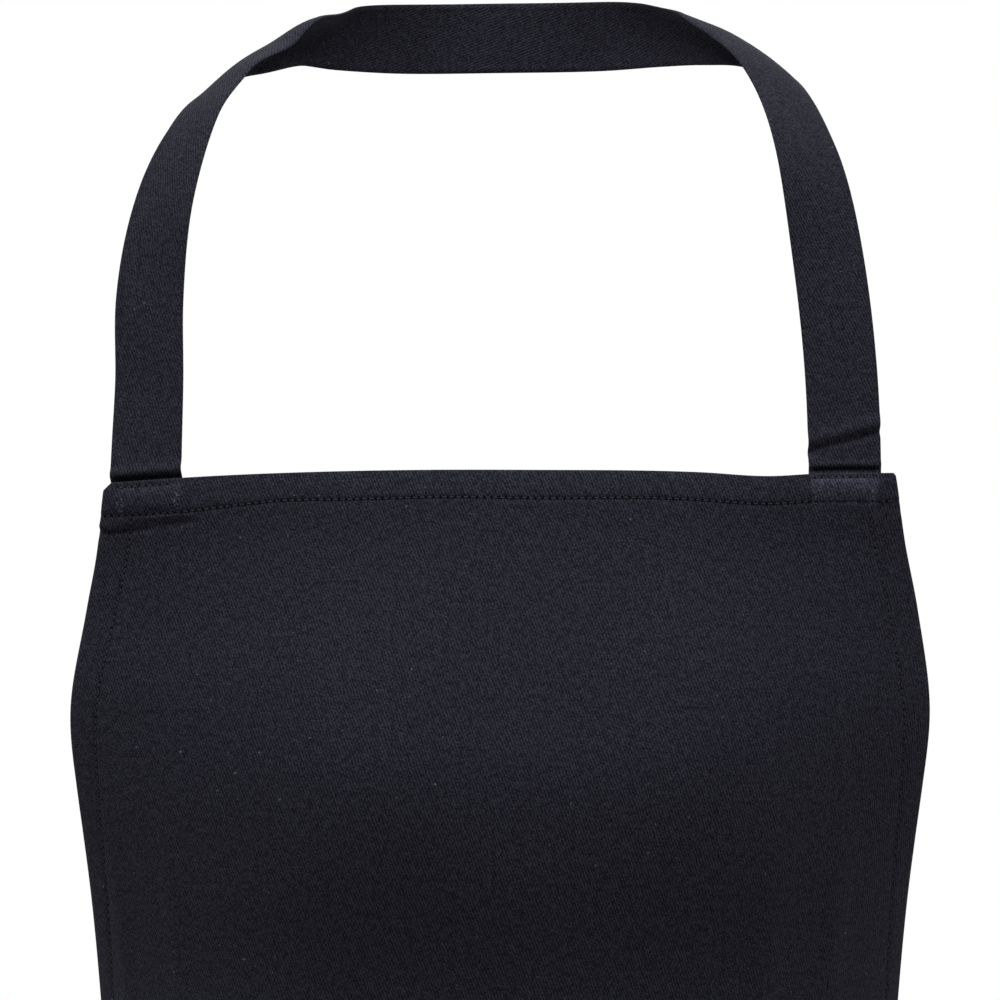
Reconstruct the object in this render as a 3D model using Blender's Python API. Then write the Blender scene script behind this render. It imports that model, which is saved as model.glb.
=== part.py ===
"""A twill bib apron as it is worn: front panel with turned hems, a neck strap sewn behind the
bib's two top corners, and waist ties that meet in a bow behind the wearer's back.

+X is the panel's own right seen from the front, -Y is the front, +Z is up. The origin is the
centre of the wearer's waist at the height of the ties.
"""

import math

import bmesh
import bpy
import numpy as np
from mathutils import Matrix, Vector

# Flat cloth sizes, in metres.
BIB_TOP = 0.310  # height of the bib's top edge above the waist ties
LENGTH = 0.860  # bib top to bottom hem
TIE_CORNER = 0.297  # depth below the bib top where the skirt's side edge begins
SKIRT_HALF = 0.350  # half the skirt's width
SIDE_HEM = 0.0135
TOP_HEM = 0.0130
BOTTOM_HEM = 0.025
RIBBON_WIDTH = 0.0269  # neck strap and waist ties
CLOTH = 0.0008
HEM_CLOTH = 0.0006
RIBBON_CLOTH = 0.0012
GAP = 0.0003
THREAD = 0.0004
THREAD_WIDTH = 0.0008

# Half width of the flat bib at each depth below its top edge.
BIB_HALF_WIDTHS = (
    (0.000, 0.144),
    (0.025, 0.149),
    (0.047, 0.155),
    (0.083, 0.164),
    (0.130, 0.171),
    (0.188, 0.179),
)
ARMHOLE_POWER = 1.6

# The body the cloth hangs on: depth, half width, half thickness, place of its front along y.
SECTIONS = (
    (0.000, 0.240, 0.062, -0.118),
    (0.025, 0.215, 0.080, -0.120),
    (0.047, 0.205, 0.090, -0.123),
    (0.083, 0.195, 0.100, -0.128),
    (0.112, 0.180, 0.112, -0.130),
    (0.142, 0.169, 0.122, -0.125),
    (0.188, 0.157, 0.121, -0.108),
    (0.310, 0.152, 0.105, -0.099),
    (0.450, 0.175, 0.125, -0.116),
    (0.600, 0.186, 0.136, -0.128),
    (0.860, 0.196, 0.141, -0.134),
)
BIB_SWAY = 0.0009  # how far the chest stands to the right of the middle

# Loose folds of the skirt: where they start, how far they swing at the hem, how wide one is.
FOLD_START = 0.350
FOLD_SWING = 0.50  # radians
FOLD_LENGTH = 0.112

# Depths of the panel's cross lines, and how many spaces lie between the side hems.
BIB_HEM_TOP = TOP_HEM + 0.0008
BIB_HEM_END = 0.293
TIE_BOTTOM = TIE_CORNER + RIBBON_WIDTH
HEM_FOLD = LENGTH - BOTTOM_HEM
SKIRT_HEM_END = HEM_FOLD - 0.0008
CROSS_LINES = (
    0.0, TOP_HEM, BIB_HEM_TOP, 0.030, 0.055, 0.083, 0.110, 0.130, 0.150, 0.168, 0.188, 0.210,
    0.230, 0.248, 0.264, 0.280, BIB_HEM_END, TIE_CORNER, 0.310, TIE_BOTTOM, 0.360, 0.410,
    0.470, 0.540, 0.610, 0.685, 0.760, SKIRT_HEM_END, HEM_FOLD, LENGTH,
)  # fmt: skip
SPACES = 24
FLAT_SHARE = 0.20  # share of the bib's half width that the flat middle space takes

# Neck strap: x, y, height above the bib top, and how far its outer and inner edges are turned
# about its own run, in degrees. At 0 the outer face looks forward, and at 180 the inner face does.
STRAP_RUN = (
    (-0.128, -0.1055, 0.0013, 13, 13),
    (-0.127, -0.104, 0.034, 20, 20),
    (-0.127, -0.104, 0.063, 22, 22),
    (-0.122, -0.102, 0.100, 39, 37),
    (-0.112, -0.089, 0.131, 60, 54),
    (-0.103, -0.067, 0.148, 80, 58),
    (-0.088, -0.028, 0.167, 143, 46),
    (-0.074, 0.002, 0.177, 182, 92),
    (-0.061, 0.022, 0.179, 187, 134),
    (-0.038, 0.037, 0.180, 187, 165),
    (0.000, 0.042, 0.181, 184, 180),
    (0.039, 0.037, 0.181, 187, 165),
    (0.061, 0.020, 0.180, 189, 132),
    (0.076, -0.002, 0.177, 184, 100),
    (0.089, -0.031, 0.170, 156, 48),
    (0.102, -0.068, 0.152, 76, 31),
    (0.112, -0.097, 0.120, 38, 30),
    (0.120, -0.104, 0.074, 14, 14),
    (0.124, -0.105, 0.034, 10, 10),
    (0.125, -0.106, 0.0013, 9, 9),
)
LEFT_STRAP_X = -0.1280
RIGHT_STRAP_X = 0.1250

# Bow behind the waist.
KNOT_CENTRE = (0.0, 0.1165, 0.0)
KNOT_HALF = (0.0155, 0.0105, 0.0165)
TIE_END = 0.0165  # where each tie run stops beside the knot's centre
LOOP_RUN = (
    (0.0175, 0.1130),
    (0.0400, 0.1115),
    (0.0750, 0.1085),
    (0.1000, 0.1130),
    (0.1080, 0.1230),
    (0.0980, 0.1320),
    (0.0700, 0.1330),
    (0.0400, 0.1260),
    (0.0175, 0.1205),
)
LOOP_DROOP = math.radians(18.0)
TAIL_RUN = (
    (0.0090, 0.1185, -0.0180),
    (0.0121, 0.1195, -0.0400),
    (0.0180, 0.1200, -0.0800),
    (0.0240, 0.1210, -0.1400),
    (0.0280, 0.1230, -0.2200),
    (0.0310, 0.1220, -0.3000),
)
LEFT_TAIL_LENGTH = 0.300
RIGHT_TAIL_LENGTH = 0.272
TAIL_END_HEM = 0.010

# Joints.
STRAP_HINGE = (0.0, -0.1134, BIB_TOP + 0.0003)
LOOP_HINGE = (0.0150, 0.1165, 0.0)
TAIL_HINGE = (0.0, 0.1185, -0.0165)


def clear_scene():
    for obj in list(bpy.data.objects):
        bpy.data.objects.remove(obj)


def cloth_material(name, colour, roughness, sheen):
    material = bpy.data.materials.new(name)
    material.use_nodes = True
    shader = material.node_tree.nodes["Principled BSDF"]
    shader.inputs["Base Color"].default_value = (*colour, 1.0)
    shader.inputs["Roughness"].default_value = roughness
    shader.inputs["Sheen Weight"].default_value = sheen
    return material


def through(knots, values, at):
    """A smooth curve through the knots: cubic pieces whose slopes are the neighbours' mean."""
    knots = np.asarray(knots, float)
    values = np.asarray(values, float)
    slopes = np.gradient(values, knots, axis=0)
    at = np.clip(np.asarray(at, float), knots[0], knots[-1])
    piece = np.clip(np.searchsorted(knots, at, side="right") - 1, 0, len(knots) - 2)
    span = knots[piece + 1] - knots[piece]
    t = (at - knots[piece]) / span
    if values.ndim > 1:
        t = t[:, None]
        span = span[:, None]
    start = (1 + 2 * t) * (1 - t) ** 2 * values[piece]
    start_slope = t * (1 - t) ** 2 * span * slopes[piece]
    end = t**2 * (3 - 2 * t) * values[piece + 1]
    end_slope = t**2 * (t - 1) * span * slopes[piece + 1]
    return start + start_slope + end + end_slope


def half_width(depth):
    """Half the flat panel's width: the bib, then the armhole curve, then the skirt."""
    last_depth, last_width = BIB_HALF_WIDTHS[-1]
    if depth <= last_depth:
        knots, widths = zip(*BIB_HALF_WIDTHS)
        return float(through(knots, widths, [depth])[0])
    if depth >= TIE_CORNER:
        return SKIRT_HALF
    share = (depth - last_depth) / (TIE_CORNER - last_depth)
    return last_width + (SKIRT_HALF - last_width) * share**ARMHOLE_POWER


def side_hem_width(depth):
    """The side hem measured straight across, wider where the edge slants."""
    if depth >= TIE_CORNER:
        return SIDE_HEM
    step = 0.0005
    slope = (half_width(depth) - half_width(max(depth - step, 0.0))) / step
    return SIDE_HEM * math.hypot(1.0, slope)


def fold_pattern(arc):
    waver = 0.6 * np.sin(2 * math.pi * arc / 0.31)
    return np.sin(2 * math.pi * arc / FOLD_LENGTH + 0.8 + waver)


def fold_swing(depth):
    share = np.clip((depth - FOLD_START) / (LENGTH - FOLD_START), 0.0, 1.0)
    return FOLD_SWING * share**0.8


def summed(values, places):
    """Running integral of the values, from the first place."""
    return np.concatenate([[0.0], np.cumsum((values[1:] + values[:-1]) / 2 * np.diff(places))])


def cross_section(depth, arc):
    """Plan view of the hanging cloth at one depth, walked along the cloth from its middle."""
    knots = [row[0] for row in SECTIONS]
    half_x, half_y, front = through(knots, [row[1:] for row in SECTIONS], [depth])[0]
    swing = fold_swing(depth)
    angles = np.linspace(0.0, math.pi, 721)
    speed = np.hypot(half_x * np.cos(angles), half_y * np.sin(angles))
    walked = summed(speed, angles)
    around = np.interp(np.abs(arc) * (1 - swing**2 / 4), walked, angles)
    turn = np.sign(arc) * np.arctan2(half_y * np.sin(around), half_x * np.cos(around))
    turn = turn + swing * fold_pattern(arc)
    x = summed(np.cos(turn), arc)
    y = summed(np.sin(turn), arc)
    middle = len(arc) // 2
    sway = BIB_SWAY * math.exp(-(((depth - 0.045) / 0.035) ** 2))
    return x - x[middle] + sway, y - y[middle] + front


def hanging_surface():
    """Points and inward normals of the outer cloth face on a fine grid of depth and arc."""
    depths = np.linspace(0.0, LENGTH, 173)
    arc = np.linspace(-0.430, 0.430, 861)
    points = np.zeros((len(depths), len(arc), 3))
    for row, depth in enumerate(depths):
        points[row, :, 0], points[row, :, 1] = cross_section(depth, arc)
        points[row, :, 2] = BIB_TOP - depth
    across = np.gradient(points, arc, axis=1)
    down = np.gradient(points, depths, axis=0)
    normals = np.cross(across, down)
    normals /= np.linalg.norm(normals, axis=2)[:, :, None]
    return depths, arc, points, normals


DEPTHS, ARC, SURFACE, INWARD = hanging_surface()


def on_surface(arc, depth, inside=0.0):
    """A point of the hanging surface, moved inwards."""
    row = np.interp(depth, DEPTHS, np.arange(len(DEPTHS)))
    column = np.interp(arc, ARC, np.arange(len(ARC)))
    r = min(int(row), len(DEPTHS) - 2)
    c = min(int(column), len(ARC) - 2)
    fr = row - r
    fc = column - c
    weights = ((1 - fr) * (1 - fc), (1 - fr) * fc, fr * (1 - fc), fr * fc)
    places = ((r, c), (r, c + 1), (r + 1, c), (r + 1, c + 1))
    point = sum(w * SURFACE[p] for w, p in zip(weights, places))
    normal = sum(w * INWARD[p] for w, p in zip(weights, places))
    return point + normal / np.linalg.norm(normal) * inside


def column_arcs(depth):
    """Arc positions of the panel's down lines at one depth, both edges included."""
    edge = half_width(depth)
    inner = edge - side_hem_width(depth)
    even = np.linspace(-1.0, 1.0, SPACES)
    side = np.linspace(FLAT_SHARE, 1.0, SPACES // 2)
    flat = np.concatenate([-side[::-1], side])
    blend = np.clip((depth - 0.14) / (FOLD_START - 0.14), 0.0, 1.0)
    shares = flat * (1 - blend) + even * blend
    return np.concatenate([[-edge], shares * inner, [edge]])


def panel_grid(inside):
    """The panel's corner points, row by row, on the outer face moved inwards."""
    return np.array(
        [
            [on_surface(arc, depth, inside) for arc in column_arcs(depth)]
            for depth in CROSS_LINES
        ]
    )


def thick_sheet(name, grid, thickness, material, mirrored_from=None):
    """A grid of points as one thickened sheet. It thickens towards the wearer.

    Columns from mirrored_from on are split along the other diagonal, so that the panel and
    the layers sewn to it have the same facets on both sides.
    """
    rows, columns = grid.shape[:2]
    mirrored_from = columns if mirrored_from is None else mirrored_from
    faces = []
    for r in range(rows - 1):
        for c in range(columns - 1):
            a = r * columns + c
            b = a + 1
            d = a + columns
            if c < mirrored_from:
                faces += [(a, d, b), (b, d, d + 1)]
            else:
                faces += [(a, d, d + 1), (a, d + 1, b)]
    mesh = bpy.data.meshes.new(name)
    mesh.from_pydata([tuple(p) for p in grid.reshape(-1, 3)], [], faces)
    mesh.materials.append(material)
    obj = bpy.data.objects.new(name, mesh)
    bpy.context.scene.collection.objects.link(obj)
    solidify = obj.modifiers.new("Thickness", "SOLIDIFY")
    solidify.thickness = thickness
    solidify.offset = -1.0
    return obj


def smooth_shaded(obj):
    for polygon in obj.data.polygons:
        polygon.use_smooth = True
    return obj


def panel(material):
    half = SPACES // 2 + 1
    obj = thick_sheet("front_panel", panel_grid(0.0), CLOTH, material, half)
    return smooth_shaded(obj)


def strip_grid(first, second, low, high):
    """Two lines of points between two others, at the given shares of the way across."""
    return np.stack([first + (second - first) * low, first + (second - first) * high], axis=1)


def cross_strip(name, depth_range, shares, inside, thickness, material):
    """Part of the top or bottom hem, between two cross lines of the panel."""
    upper, lower = depth_range
    first = np.array([on_surface(a, upper, inside) for a in column_arcs(upper)])
    second = np.array([on_surface(a, lower, inside) for a in column_arcs(lower)])
    grid = strip_grid(first, second, *shares).transpose(1, 0, 2)
    return smooth_shaded(thick_sheet(name, grid, thickness, material, SPACES // 2 + 1))


def edge_strip(name, depth_range, side, shares, inside, thickness, material):
    """Part of a side hem. Side is -1 for the left edge and 1 for the right."""
    first, last = depth_range
    outer = []
    inner = []
    for depth in [d for d in CROSS_LINES if first <= d <= last]:
        arcs = column_arcs(depth)
        edge, fold = (arcs[0], arcs[1]) if side < 0 else (arcs[-1], arcs[-2])
        outer.append(on_surface(edge, depth, inside))
        inner.append(on_surface(fold, depth, inside))
    grid = strip_grid(np.array(inner), np.array(outer), *shares)
    if side < 0:
        grid = grid[:, ::-1]
    mirrored_from = 0 if side > 0 else None
    return smooth_shaded(thick_sheet(name, grid, thickness, material, mirrored_from))


def hems(cloth):
    """The turned edges, sewn down behind the panel."""
    inside = CLOTH + GAP
    whole = (0.0, 1.0)
    cross_strip("top_hem", (0.0, TOP_HEM), whole, inside, HEM_CLOTH, cloth)
    cross_strip("bottom_hem", (HEM_FOLD, LENGTH), whole, inside, HEM_CLOTH, cloth)
    bib = (BIB_HEM_TOP, BIB_HEM_END)
    skirt = (TIE_CORNER, SKIRT_HEM_END)
    for side, word in ((-1, "left"), (1, "right")):
        edge_strip(f"{word}_bib_hem", bib, side, whole, inside, HEM_CLOTH, cloth)
        edge_strip(f"{word}_skirt_hem", skirt, side, whole, inside, HEM_CLOTH, cloth)


def seam_stitching(thread):
    """The rows of thread that hold the hems, on the panel's outer face."""
    outside = -GAP - THREAD
    row = (0.0097 / TOP_HEM, (0.0097 + THREAD_WIDTH) / TOP_HEM)
    cross_strip("top_hem_stitching", (0.0, TOP_HEM), row, outside, THREAD, thread)
    row = (0.0025 / BOTTOM_HEM, (0.0025 + THREAD_WIDTH) / BOTTOM_HEM)
    cross_strip("bottom_hem_stitching", (HEM_FOLD, LENGTH), row, outside, THREAD, thread)
    row = (0.0015 / SIDE_HEM, (0.0015 + THREAD_WIDTH) / SIDE_HEM)
    bib = (BIB_HEM_TOP, BIB_HEM_END)
    skirt = (TIE_BOTTOM, SKIRT_HEM_END)
    for side, word in ((-1, "left"), (1, "right")):
        edge_strip(f"{word}_bib_hem_stitching", bib, side, row, outside, THREAD, thread)
        edge_strip(f"{word}_skirt_hem_stitching", skirt, side, row, outside, THREAD, thread)


def surface_patch(name, arcs, depths, inside, thickness, material):
    grid = np.array([[on_surface(a, d, inside) for a in arcs] for d in depths])
    return smooth_shaded(thick_sheet(name, grid, thickness, material))


def strap_ends(cloth, thread):
    """The strap's two sewn ends behind the top hem, and the row of thread along the top."""
    behind = CLOTH + HEM_CLOTH + 3 * GAP
    for x, word in ((LEFT_STRAP_X, "left"), (RIGHT_STRAP_X, "right")):
        arcs = np.linspace(x - RIBBON_WIDTH / 2, x + RIBBON_WIDTH / 2, 5)
        depths = (0.0, TOP_HEM)
        surface_patch(f"{word}_strap_end", arcs, depths, behind, RIBBON_CLOTH, cloth)
        row = (0.0020, 0.0020 + THREAD_WIDTH)
        outside = -GAP - THREAD
        surface_patch(f"{word}_strap_stitching", arcs, row, outside, THREAD, thread)


def ribbon_frame(centres):
    """Two directions square to a run: level across it, and towards the front."""
    run = np.gradient(centres, axis=0)
    run /= np.linalg.norm(run, axis=1)[:, None]
    away = np.array([0.0, 0.99, 0.14])
    away /= np.linalg.norm(away)
    flat = np.cross(np.broadcast_to(away, run.shape), run)
    flat /= np.linalg.norm(flat, axis=1)[:, None]
    near = np.cross(flat, run)
    near *= -np.sign(near @ away)[:, None]
    return flat, near


def rolled_sections(centres, outer_turn, inner_turn, shares):
    """Points across the strap, which curls evenly from its outer edge to its inner edge.

    Shares run from -1 at the outer edge to 1 at the inner edge, and the middle stays on the run.
    """
    flat, near = ribbon_frame(centres)
    turn = outer_turn[:, None] + (inner_turn - outer_turn)[:, None] * (shares + 1) / 2
    way = flat[:, None] * np.cos(turn)[..., None] + near[:, None] * np.sin(turn)[..., None]
    steps = (way[:, 1:] + way[:, :-1]) / 2 * np.diff(shares)[None, :, None] * RIBBON_WIDTH / 2
    start = np.zeros((len(centres), 1, 3))
    place = np.concatenate([start, np.cumsum(steps, axis=1)], axis=1)
    return centres[:, None] + place - place[:, len(shares) // 2][:, None]


def walked_length(points):
    steps = np.linalg.norm(np.diff(points, axis=0), axis=1)
    return np.concatenate([[0.0], np.cumsum(steps)])


def resampled(stations, count):
    """Smooth points through the stations, evenly spaced along the first three numbers."""
    stations = np.asarray(stations, float)
    knots = walked_length(stations[:, :3])
    fine = through(knots, stations, np.linspace(0.0, knots[-1], 400))
    knots = walked_length(fine[:, :3])
    even = np.linspace(0.0, knots[-1], count)
    return np.stack([np.interp(even, knots, fine[:, i]) for i in range(fine.shape[1])], axis=1)


def ribbon(name, centres, across, widths, material, pivot):
    """A flat band along the centre points, thickened both ways, with its origin at pivot."""
    half = across * np.asarray(widths)[:, None] / 2
    grid = np.stack([centres - half, centres + half], axis=1) - np.array(pivot)
    obj = thick_sheet(name, grid, RIBBON_CLOTH, material)
    obj.modifiers["Thickness"].offset = 0.0
    obj.location = pivot
    return smooth_shaded(obj)


def neck_strap(material):
    stations = [
        (x, y, z + BIB_TOP, math.radians(outer), math.radians(inner))
        for x, y, z, outer, inner in STRAP_RUN
    ]
    path = resampled(stations, 71)
    shares = np.linspace(-1.0, 1.0, 7)
    grid = rolled_sections(path[:, :3], path[:, 3], path[:, 4], shares) - np.array(STRAP_HINGE)
    obj = thick_sheet("neck_strap", grid, RIBBON_CLOTH, material)
    obj.modifiers["Thickness"].offset = 0.0
    obj.location = STRAP_HINGE
    return smooth_shaded(obj)


def waist_ties(cloth, thread):
    """The tie runs from the skirt's top corners round to the knot, and their sewn frames."""
    behind = CLOTH + HEM_CLOTH + 3 * GAP
    depths = (TIE_CORNER, 0.310, TIE_BOTTOM)
    back = back_middle()
    fold = SKIRT_HALF - SIDE_HEM
    arcs = np.concatenate([[fold - 0.006, fold], np.linspace(SKIRT_HALF, back - TIE_END, 5)])
    for side, word in ((-1, "left"), (1, "right")):
        placed = arcs if side > 0 else -arcs[::-1]
        surface_patch(f"{word}_waist_tie", placed, depths, behind, RIBBON_CLOTH, cloth)
        thread_frame(f"{word}_tie_stitching", side, thread)


def back_middle():
    """Arc at which the cloth surface reaches the middle of the back, at tie height."""
    row = int(np.argmin(np.abs(DEPTHS - 0.310)))
    right = ARC > 0.2
    return float(np.interp(0.0, -SURFACE[row, right, 0], ARC[right]))


def thread_frame(name, side, thread):
    """The stitched rectangle that holds a tie to the panel, as one closed frame."""
    arcs = np.array([0.3320, 0.3320 + THREAD_WIDTH, 0.3365, 0.3465 - THREAD_WIDTH, 0.3465]) * side
    if side < 0:
        arcs = arcs[::-1]
    depths = np.array([0.3000, 0.3000 + THREAD_WIDTH, 0.310, 0.3205 - THREAD_WIDTH, 0.3205])
    obj = surface_patch(name, arcs, depths, -GAP - THREAD, THREAD, thread)
    work = bmesh.new()
    work.from_mesh(obj.data)
    work.faces.ensure_lookup_table()
    spaces = len(arcs) - 1
    middle = []
    for face in work.faces:
        row, column = divmod(face.index // 2, spaces)
        if 0 < row < spaces - 1 and 0 < column < spaces - 1:
            middle.append(face)
    bmesh.ops.delete(work, geom=middle, context="FACES")
    work.to_mesh(obj.data)
    work.free()
    return obj


def bow_knot(material):
    mesh = bpy.data.meshes.new("bow_knot")
    work = bmesh.new()
    bmesh.ops.create_cube(work, size=2.0)
    bmesh.ops.scale(work, vec=Vector(KNOT_HALF) * 1.12, verts=work.verts)
    work.to_mesh(mesh)
    work.free()
    mesh.materials.append(material)
    obj = bpy.data.objects.new("bow_knot", mesh)
    obj.location = KNOT_CENTRE
    bpy.context.scene.collection.objects.link(obj)
    rounding = obj.modifiers.new("Rounding", "SUBSURF")
    rounding.levels = 3
    rounding.render_levels = 3
    return smooth_shaded(obj)


def bow_loop(side, word, material):
    """A teardrop of ribbon whose two ends meet the knot."""
    stations = np.array([(x * side, y, 0.0) for x, y in LOOP_RUN])
    path = resampled(stations, 25)
    share = np.linspace(0.0, 1.0, len(path))
    widths = RIBBON_WIDTH * np.clip(0.45 + 4.0 * np.minimum(share, 1 - share), 0.45, 1.0)
    droop = np.array(Matrix.Rotation(LOOP_DROOP * side, 3, "Y"))
    hinge = np.array([LOOP_HINGE[0] * side, LOOP_HINGE[1], LOOP_HINGE[2]])
    path = (path - hinge) @ droop.T + hinge
    across = np.tile(droop @ np.array([0.0, 0.0, 1.0]), (len(path), 1))
    return ribbon(f"{word}_bow_loop", path, across, widths, material, tuple(hinge))


def tie_tail(side, word, length, material, thread):
    """A hanging end of the tie, its folded end hem and the thread across it."""
    stations = np.array([(x * side, y, z) for x, y, z in TAIL_RUN])
    path = resampled(stations, 61)
    walked = walked_length(path)
    path = path[walked <= length]
    walked = walked[walked <= length]
    across = np.tile([1.0, 0.0, 0.0], (len(path), 1))
    widths = RIBBON_WIDTH * np.clip(0.50 + 0.5 * walked / 0.030, 0.50, 1.0)
    kept = list(range(0, len(path) - 1, 4)) + [len(path) - 1]
    ribbon(f"{word}_tie_tail", path[kept], across[kept], widths[kept], material, TAIL_HINGE)
    end = walked >= walked[-1] - TAIL_END_HEM
    inner = path[end] - [0.0, RIBBON_CLOTH / 2 + GAP + RIBBON_CLOTH / 2, 0.0]
    fold_width = widths[end] - 0.001
    ribbon(f"{word}_tail_hem", inner, across[end], fold_width, material, TAIL_HINGE)
    row = path[end][:1] + [0.0, RIBBON_CLOTH / 2 + GAP + THREAD, 0.0]
    row = np.concatenate([row, row - [0.0, 0.0, THREAD_WIDTH]])
    half = np.array([RIBBON_WIDTH / 2 - 0.002, 0.0, 0.0])
    grid = np.stack([row + half, row - half], axis=1) - np.array(TAIL_HINGE)
    stitches = thick_sheet(f"{word}_tail_stitching", grid, THREAD, thread)
    stitches.location = TAIL_HINGE


def build():
    clear_scene()
    cloth = cloth_material("twill", (0.0185, 0.0190, 0.0285), 0.85, 0.15)
    thread = cloth_material("thread", (0.0220, 0.0225, 0.0320), 0.60, 0.05)
    panel(cloth)
    hems(cloth)
    seam_stitching(thread)
    strap_ends(cloth, thread)
    neck_strap(cloth)
    waist_ties(cloth, thread)
    bow_knot(cloth)
    bow_loop(-1, "left", cloth)
    bow_loop(1, "right", cloth)
    tie_tail(-1, "left", LEFT_TAIL_LENGTH, cloth, thread)
    tie_tail(1, "right", RIGHT_TAIL_LENGTH, cloth, thread)


build()
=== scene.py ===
"""The looks of a dark twill bib apron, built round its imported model.

Every length is in metres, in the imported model's own frame: the origin is the centre of the
wearer's waist at the height of the ties, -Y is the front and +Z is up.
"""

import math

import bpy
import numpy as np
from mathutils import Matrix, Vector

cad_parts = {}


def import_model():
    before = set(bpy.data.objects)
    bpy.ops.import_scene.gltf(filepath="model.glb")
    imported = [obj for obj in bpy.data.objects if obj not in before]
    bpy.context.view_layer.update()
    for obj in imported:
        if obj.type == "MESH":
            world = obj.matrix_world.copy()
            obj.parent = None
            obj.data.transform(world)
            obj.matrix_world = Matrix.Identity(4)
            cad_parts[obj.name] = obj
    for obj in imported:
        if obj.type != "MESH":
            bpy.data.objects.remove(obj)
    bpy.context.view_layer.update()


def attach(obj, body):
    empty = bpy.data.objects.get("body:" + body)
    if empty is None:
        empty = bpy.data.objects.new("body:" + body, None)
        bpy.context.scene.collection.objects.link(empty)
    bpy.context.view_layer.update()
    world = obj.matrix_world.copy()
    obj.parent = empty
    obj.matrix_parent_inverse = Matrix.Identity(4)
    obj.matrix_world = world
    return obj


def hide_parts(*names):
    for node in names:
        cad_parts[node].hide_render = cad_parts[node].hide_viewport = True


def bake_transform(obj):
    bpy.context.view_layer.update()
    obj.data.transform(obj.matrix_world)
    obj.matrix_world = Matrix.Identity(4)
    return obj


# ---------------------------------------------------------------- sizes shared with the model
BIB_TOP = 0.310  # height above the waist ties, which hang this far below the bib's top
LENGTH = 0.860
TIE_CORNER = 0.297
SKIRT_HALF = 0.350
SIDE_HEM = 0.0135
TOP_HEM = 0.0130
BOTTOM_HEM = 0.025
RIBBON_WIDTH = 0.0269
BIB_HALF_WIDTHS = (
    (0.000, 0.144),
    (0.025, 0.149),
    (0.047, 0.155),
    (0.083, 0.164),
    (0.130, 0.171),
    (0.188, 0.179),
)
ARMHOLE_POWER = 1.6
SECTIONS = (
    (0.000, 0.240, 0.062, -0.118),
    (0.025, 0.215, 0.080, -0.120),
    (0.047, 0.205, 0.090, -0.123),
    (0.083, 0.195, 0.100, -0.128),
    (0.112, 0.180, 0.112, -0.130),
    (0.142, 0.169, 0.122, -0.125),
    (0.188, 0.157, 0.121, -0.108),
    (0.310, 0.152, 0.105, -0.099),
    (0.450, 0.175, 0.125, -0.116),
    (0.600, 0.186, 0.136, -0.128),
    (0.860, 0.196, 0.141, -0.134),
)
BIB_SWAY = 0.0009
FOLD_START = 0.350
FOLD_SWING = 0.50
FOLD_LENGTH = 0.112
STRAP_RUN = (
    (-0.128, -0.1057, -0.0100, 13, 13),
    (-0.128, -0.1055, 0.0013, 13, 13),
    (-0.127, -0.104, 0.034, 20, 20),
    (-0.127, -0.104, 0.063, 22, 22),
    (-0.122, -0.102, 0.100, 39, 37),
    (-0.112, -0.089, 0.131, 60, 54),
    (-0.103, -0.067, 0.148, 80, 58),
    (-0.088, -0.028, 0.167, 143, 46),
    (-0.074, 0.002, 0.177, 182, 92),
    (-0.061, 0.022, 0.179, 187, 134),
    (-0.038, 0.037, 0.180, 187, 165),
    (0.000, 0.042, 0.181, 184, 180),
    (0.039, 0.037, 0.181, 187, 165),
    (0.061, 0.020, 0.180, 189, 132),
    (0.076, -0.002, 0.177, 184, 100),
    (0.089, -0.031, 0.170, 156, 48),
    (0.102, -0.068, 0.152, 76, 31),
    (0.112, -0.097, 0.120, 38, 30),
    (0.120, -0.104, 0.074, 14, 14),
    (0.124, -0.105, 0.034, 10, 10),
    (0.125, -0.106, 0.0013, 9, 9),
    (0.125, -0.1062, -0.0100, 9, 9),
)
LEFT_STRAP_X = -0.1280
RIGHT_STRAP_X = 0.1250
KNOT_CENTRE = (0.0, 0.1165, 0.0)
KNOT_HALF = (0.0155, 0.0105, 0.0165)
LOOP_RUN = (
    (0.0175, 0.1130),
    (0.0400, 0.1115),
    (0.0750, 0.1085),
    (0.1000, 0.1130),
    (0.1080, 0.1230),
    (0.0980, 0.1320),
    (0.0700, 0.1330),
    (0.0400, 0.1260),
    (0.0175, 0.1205),
)
LOOP_DROOP = math.radians(18.0)
LOOP_HINGE = (0.0150, 0.1165, 0.0)
TAIL_RUN = (
    (0.0090, 0.1185, -0.0180),
    (0.0121, 0.1195, -0.0400),
    (0.0180, 0.1200, -0.0800),
    (0.0240, 0.1210, -0.1400),
    (0.0280, 0.1230, -0.2200),
    (0.0310, 0.1220, -0.3000),
)
LEFT_TAIL_LENGTH = 0.300
RIGHT_TAIL_LENGTH = 0.272

# ---------------------------------------------------------------- sizes of the cloth itself
CLOTH = 0.0006
TWILL_LEAN = math.radians(20.0)
TWILL_PITCH = 0.00113
STITCH_PITCH = 0.00262
STITCH_LENGTH = 0.0019
TOP_STITCH = 0.0101
SIDE_STITCH = 0.0120
BOTTOM_STITCH = 0.0225
DEEP_HOLE = 0.00054  # radius of the needle holes where many layers are sewn
STRAP_STITCHES = (0.0021, 0.0017)  # depth of the short row at the left and right strap end
STRAP_END_TONE = (-0.18, 0.50)  # how much lighter the cloth over each strap end is coloured; the left one is darker
CORNER_CUTS = {-1: 0.0027, 1: 0.0009}  # how much the bib's left and right corners are worn away
NEEDLE_HOLE = 0.00030
THREAD_HALF_WIDTH = 0.00023
THREAD_HALF_HEIGHT = 0.00017

# How far the bib's top edge hangs below a level line, across the bib.
TOP_EDGE_DROP = (
    (-0.143, 0.0038),
    (-0.106, 0.0018),
    (-0.060, 0.0004),
    (-0.030, 0.0000),
    (0.010, 0.0000),
    (0.072, 0.0006),
    (0.098, 0.0018),
    (0.114, 0.0008),
    (0.143, 0.0001),
)


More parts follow.
